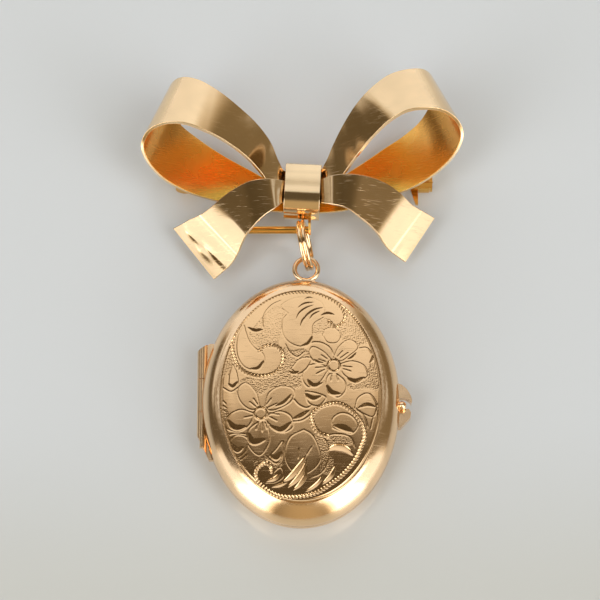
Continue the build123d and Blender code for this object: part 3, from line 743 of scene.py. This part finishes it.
# %% Cut the whole drawing into the plate
def engrave(x, y):
    work = Engraving(x, y)
    for outline in grounds:
        work.ground[inside(work, outline)] = 1.0
    for outline in petals:
        polish_petal(work, outline)
    for path in lines:
        cut_line(work, path)
    for path, width, depth in dark_cuts:
        cut_crescent(work, path, width, depth, deep=-1)
    for path, width, depth in bright_cuts:
        cut_crescent(work, path, width, depth, deep=1)
    for centre in flower_centres:
        cut_flower_centre(work, centre)
    cut_wriggle(work, upper_border)
    cut_wriggle(work, lower_border)
    return work


hatch_pitches = (0.26, 0.30)


def hatching(x, y):
    """The crossed hatch of the rough ground, from -1 to 1."""
    one_way = np.sin((x * 0.8 + y * 0.6) * 2 * math.pi / hatch_pitches[0])
    return one_way * np.sin((x * 0.5 - y * 0.86) * 2 * math.pi / hatch_pitches[1])


# %% The sizes of the finished face
plate_play = 0.03
ground_depth = 0.008
hatch_depth = 0.005
edge_line_inset = 0.28
edge_line_width = 0.12
edge_line_depth = 0.05
rim_drop = 0.05
# A cut begins to look dark at the first depth, and is fully dark this much deeper
dark_from = 0.03
dark_range = 0.05
plate_values = {}
print("a line is cut", edge_line_inset, "mm inside the plate's edge")


# %% Form and engrave the plate
def form_plate(u, v):
    """The face of the plate; what its gold reads is kept in plate_values."""
    # The square grid is drawn out to an oval without a pole in its middle
    a, b = 2 * u - 1, 2 * v - 1
    x = a * np.sqrt(1 - b**2 / 2)
    y = b * np.sqrt(1 - a**2 / 2)
    half = plate_half - plate_play
    x, y = x * half[0], y * half[1]
    work = engrave(x, y)
    height, inset = dome(x, y)
    edge_line = np.clip(1 - np.abs(inset - edge_line_inset) / edge_line_width, 0, 1)
    work.cut = np.maximum(work.cut, edge_line * edge_line_depth)
    ground = work.ground * (ground_depth + hatch_depth * hatching(x, y))
    height = height + plate_lift - work.cut - ground
    # The outermost ring of points turns down into the lid
    rim = np.maximum(np.abs(a), np.abs(b)) > 0.9999
    height[rim] = plate_foot - rim_drop
    plate_values["ground"] = work.ground
    plate_values["depth"] = np.clip((work.cut - dark_from) / dark_range, 0, 1)
    return np.stack([x, y, height], axis=1)


plate = form_sheet("engraved_plate", 300, 318, form_plate, plate_gold, "lid")
for name, values in plate_values.items():
    keep_values(plate.data, name, values)
shade_smooth(plate.data)
print("the engraved plate has", len(plate.data.polygons), "faces")

# %% [markdown]
# ## The ribbons
#
# Each ribbon is one strip of sheet, bent into a loop or a falling tail. A strip is described by a
# row for each of its sections: how far out, up and high its middle lies, how wide it is there, and
# how far the section leans towards the knot and dips towards the table, in degrees. The strip is
# then as smooth as a real bent one, and its reflections run on without a break.

# %% The sheet and its sizes
ribbon_width = 8.2
ribbon_sheet = 0.4
ribbon_across = 12
strip_step = 0.05
knot_middle = 24.0
crease_width = 0.28
dent_length = 0.3
loop_sizes = {"reach": 16.5, "rise": 9.0, "low": 3.65, "height": 7.1}
tail_sizes = {"reach": 13.3, "rise": 6.4, "low": 2.25, "height": 3.75}
# Shallow dents in the left tail's end: each has its place along the strip in mm, its place across
# and its width as shares of the strip's width, and its depth in mm
left_dents = [(13.4, 0.74, 0.16, 0.09), (12.9, 0.30, 0.22, 0.10), (13.7, 0.42, 0.12, 0.07)]
print("the ribbon is", ribbon_width, "mm wide and", ribbon_sheet, "mm thick")

# %% The rows of the loops
left_loop = [
    (0.01, 0.12, 0.235, 0.33, 0, 0), (0.12, 0.13, 0.24, 0.34, 2, 0),
    (0.18, 0.23, 0.30, 0.38, 16, 0), (0.24, 0.40, 0.41, 0.46, 19, 6),
    (0.33, 0.56, 0.60, 0.55, 16, 12), (0.46, 0.73, 0.76, 0.66, 12, 17),
    (0.61, 0.89, 0.87, 0.78, 10, 20), (0.75, 1.00, 0.90, 0.86, 12, 22),
    (0.86, 1.03, 0.84, 0.92, 16, 22), (0.94, 1.00, 0.70, 0.98, 20, 21),
    (0.985, 0.89, 0.51, 1.00, 21, 18), (0.965, 0.75, 0.33, 0.97, 19, 16),
    (0.89, 0.58, 0.19, 0.92, 15, 13), (0.75, 0.42, 0.08, 0.85, 11, 9),
    (0.55, 0.25, 0.02, 0.69, 7, 4), (0.35, 0.11, 0.0, 0.55, 3, 0), (0.17, 0.0, 0.0, 0.41, 0, 0),
    (0.01, -0.03, 0.0, 0.36, 0, 0),
]
right_loop = [
    (0.01, 0.12, 0.235, 0.33, 0, 0), (0.13, 0.12, 0.24, 0.33, 2, 0),
    (0.20, 0.22, 0.30, 0.38, 18, 0), (0.26, 0.39, 0.40, 0.44, 22, 6),
    (0.34, 0.59, 0.59, 0.53, 22, 12), (0.44, 0.79, 0.81, 0.63, 21, 18),
    (0.55, 0.96, 0.95, 0.72, 20, 24), (0.66, 1.08, 1.00, 0.81, 18, 27),
    (0.78, 1.14, 0.97, 0.88, 17, 28), (0.90, 1.15, 0.87, 0.94, 19, 27),
    (0.97, 1.09, 0.71, 0.98, 22, 25), (1.00, 0.98, 0.53, 0.98, 23, 23),
    (0.97, 0.82, 0.36, 0.94, 22, 20), (0.89, 0.65, 0.21, 0.88, 19, 17),
    (0.76, 0.48, 0.10, 0.81, 16, 12), (0.60, 0.33, 0.03, 0.71, 13, 5),
    (0.44, 0.18, 0.0, 0.60, 10, 1), (0.27, 0.04, 0.0, 0.48, 6, 0), (0.13, -0.03, 0.0, 0.38, 0, 0),
    (0.01, -0.03, 0.0, 0.36, 0, 0),
]
print("the loops have", len(left_loop), "and", len(right_loop), "rows")

# %% The rows of the tails
left_tail = [
    (0.02, -0.03, 1.00, 0.31, 0, -3), (0.13, -0.025, 0.99, 0.30, -1, -5),
    (0.25, -0.105, 1.14, 0.43, -11, -5), (0.37, -0.21, 1.16, 0.54, -15, -5),
    (0.48, -0.36, 1.06, 0.62, -20, -3), (0.56, -0.48, 0.90, 0.65, -30, 0),
    (0.62, -0.59, 0.70, 0.68, -38, 0), (0.68, -0.70, 0.50, 0.76, -42, 0),
    (0.76, -0.81, 0.30, 0.87, -41, 0), (0.83, -0.89, 0.14, 0.90, -39, 0),
    (0.90, -0.96, -0.02, 0.93, -37, 0),
]
right_tail = [
    (0.02, -0.03, 1.00, 0.31, 0, -3), (0.14, -0.03, 1.00, 0.32, 0, -5),
    (0.28, -0.045, 1.20, 0.42, -2, -5), (0.40, -0.075, 1.25, 0.48, -9, -5),
    (0.53, -0.16, 1.12, 0.59, -15, -3), (0.65, -0.26, 0.90, 0.66, -20, 0),
    (0.75, -0.40, 0.68, 0.68, -27, 0), (0.81, -0.51, 0.47, 0.69, -33, 0),
    (0.87, -0.59, 0.31, 0.73, -35, 0), (0.94, -0.66, 0.17, 0.75, -34, 0),
    (1.00, -0.72, 0.05, 0.76, -32, 0),
]
print("the tails have", len(left_tail), "and", len(right_tail), "rows")


# %% Bend a strip through its rows
def strip_form(rows, side, sizes, crease, crease_depth, dents):
    """Gives the forming function of a strip, and the strip's length."""
    rows = np.array(rows)
    middle = np.stack([
        side * rows[:, 0] * sizes["reach"],
        knot_middle + rows[:, 1] * sizes["rise"],
        sizes["low"] + rows[:, 2] * sizes["height"],
    ], axis=1)
    curve = smooth(np.hstack([middle, rows[:, 3:]]), strip_step)

    def form(u, v):
        place = v * (len(curve) - 1)
        row = np.stack([np.interp(place, np.arange(len(curve)), column) for column in curve.T], axis=1)
        lean, dip = np.radians(row[:, 4]), np.radians(row[:, 5])
        aslant = [-side * np.sin(lean) * np.cos(dip), np.cos(lean) * np.cos(dip), -np.sin(dip)]
        across = np.stack(aslant, axis=1)
        points = row[:, :3] + across * ((u - 0.5) * row[:, 3] * ribbon_width)[:, None]
        onward = place * strip_step
        if crease:
            points[:, 2] += crease_depth * np.exp(-((onward - crease) / crease_width) ** 2)
        for dent, aside, wide, deep in dents:
            hollow = -((onward - dent) / dent_length) ** 2 - ((u - aside) / wide) ** 2
            points[:, 2] -= deep * np.exp(hollow)
        return points

    return form, (len(curve) - 1) * strip_step


# %% Make a ribbon from a strip
def bend_ribbon(name, node, rows, side, sizes, along, crease=None, crease_depth=0.0, dents=()):
    """Bends a strip through its rows, gives it the sheet's thickness and hides the node it replaces."""
    form, length = strip_form(rows, side, sizes, crease, crease_depth, dents)
    ribbon = form_sheet(name, ribbon_across, along, form, ribbon_gold, "brooch")
    top = max(ribbon.data.polygons, key=lambda face: face.center.z)
    if top.normal.z < 0:
        ribbon.data.flip_normals()
    # The thickened sheet's other side, inside a loop, gets the gold with the painted reflection
    ribbon.data.materials.append(inner_gold_painted_reflection if sizes is loop_sizes else ribbon_gold)
    share = np.repeat(np.linspace(0, 1, along + 1), ribbon_across + 1)
    keep_values(ribbon.data, "along", share)
    shade_smooth(ribbon.data)
    sheet = thicken(ribbon, "sheet", ribbon_sheet)
    sheet.material_offset = 1
    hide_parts(node)
    print(name, "is", round(length, 1), "mm long")


bend_ribbon("left_loop_ribbon", "loop_left", left_loop, -1, loop_sizes, 220)
bend_ribbon("right_loop_ribbon", "loop_right", right_loop, 1, loop_sizes, 220)
bend_ribbon("left_tail_ribbon", "tail_left", left_tail, -1, tail_sizes, 200, 11.2, 0.045, left_dents)
bend_ribbon("right_tail_ribbon", "tail_right", right_tail, 1, tail_sizes, 200, 13.7, 0.022)

# %% [markdown]
# ## The knot band
#
# The knot is a short strip that is wrapped round the ribbons and soldered behind. Its front edge
# rolls over softly towards the locket, so it shows a cream face, then a brown band, then orange.
# The profile is the path of the strip round the bow, as distances up and high, in millimetres.

# %% The profile of the knot
knot_turn = math.radians(3)
knot_aside = 0.17
knot_half_width = 2.0
knot_wall = 0.35
knot_profile = [
    (-2.32, 3.4), (-2.33, 4.6), (-2.30, 5.6), (-2.1, 6.15), (-1.6, 6.5), (-0.9, 6.66), (0.2, 6.68),
    (1.6, 6.68), (2.4, 6.6), (2.85, 6.3), (2.92, 5.8), (2.92, 4.4), (2.9, 3.5), (2.7, 3.24),
    (1.5, 3.22), (-0.5, 3.22), (-2.1, 3.23),
]
print("the knot is", 2 * knot_half_width, "mm wide and", knot_wall, "mm thick")


# %% Wrap the knot
def form_knot(u, v):
    loop = smooth([*knot_profile, knot_profile[0], knot_profile[1]], strip_step)
    # The curve runs on past its start, so it is cut where it first passes the second point
    first = np.argmin(np.hypot(*(loop[:200] - knot_profile[1]).T))
    loop = loop[first:]
    place = v * (len(loop) - 1)
    y = np.interp(place, np.arange(len(loop)), loop[:, 0])
    z = np.interp(place, np.arange(len(loop)), loop[:, 1])
    across = (u - 0.5) * 2 * knot_half_width
    return np.stack([
        knot_aside + y * math.sin(knot_turn) + across * math.cos(knot_turn),
        knot_middle + y * math.cos(knot_turn) - across * math.sin(knot_turn),
        z,
    ], axis=1)


knot = form_sheet("knot_wrap", 8, 160, form_knot, knot_gold, "brooch")
weld(knot.data)
shade_smooth(knot.data)
thicken(knot, "band", knot_wall)
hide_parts("knot_band")
print("the knot has", len(knot.data.polygons), "faces before it is thickened")

# %% [markdown]
# ## The split ring
#
# The locket hangs by a split ring: one wire coiled twice round, which steps over from the first
# turn to the second at one place.

# %% Place the ring
ring_radius = 2.65
ring_wire = 0.25
ring_step = 0.225
ring_middle = np.array([0.5, 18.54, 3.0])
ring_lean = math.radians(9)
ring_up = np.array([-math.sin(ring_lean), math.cos(ring_lean), 0])
ring_front = np.array([-math.sin(ring_lean), 0, math.cos(ring_lean)])
ring_front -= ring_up * ring_front.dot(ring_up)
ring_front /= np.linalg.norm(ring_front)
ring_side = np.cross(ring_up, ring_front)
ring_start = math.radians(250)
ring_gap = math.radians(22)
coil_turns = 4 * math.pi
print("the ring is", 2 * (ring_radius + ring_wire), "mm wide")


# %% Coil the wire
def form_coil(u, v):
    turn = ring_start + ring_gap / 2 + v * (coil_turns - ring_gap)
    middle_turn = ring_start + coil_turns / 2
    crossing = np.clip((turn - middle_turn) / ring_gap + 0.5, 0, 1)
    shift = ring_step * (2 * (3 * crossing**2 - 2 * crossing**3) - 1)
    outward = np.cos(turn)[:, None] * ring_up + np.sin(turn)[:, None] * ring_front
    centre = ring_middle + outward * ring_radius + shift[:, None] * ring_side
    # The wire is round, and its two ends are rounded off
    end = np.minimum(v, 1 - v) * coil_turns * ring_radius / ring_wire
    radius = ring_wire * np.sqrt(1 - (1 - np.clip(end, 0, 1)) ** 2)
    angle = 2 * math.pi * u
    sideways = (radius * np.sin(angle))[:, None] * ring_side
    return centre + (radius * np.cos(angle))[:, None] * outward + sideways


coil = form_sheet("coiled_split_ring", 16, 400, form_coil, ribbon_gold, "brooch")
weld(coil.data)
shade_smooth(coil.data)
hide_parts("link")
print("the split ring has", len(coil.data.polygons), "faces")

# %% [markdown]
# ## The camera
#
# The brooch is looked down on from 70 degrees above the table, through a long lens. From so far
# away its nearer and farther parts keep their true sizes.

# %% Place the camera
camera_rise = math.radians(70)
camera_distance = 0.42
camera_target = Vector((-0.0001, 0.01206, 0.003))
sensor_width = 36.0
focal_length = 226.8


def place_camera():
    data = bpy.data.cameras.new("camera")
    data.sensor_width = sensor_width
    data.lens = focal_length
    camera = bpy.data.objects.new("camera", data)
    towards = Vector((0, -math.cos(camera_rise), math.sin(camera_rise)))
    camera.location = camera_target + camera_distance * towards
    camera.rotation_euler = (math.radians(90) - camera_rise, 0, 0)
    bpy.context.scene.collection.objects.link(camera)
    bpy.context.scene.camera = camera


place_camera()
bpy.context.scene.view_settings.view_transform = "Standard"
print("the camera stands", camera_distance, "m away")
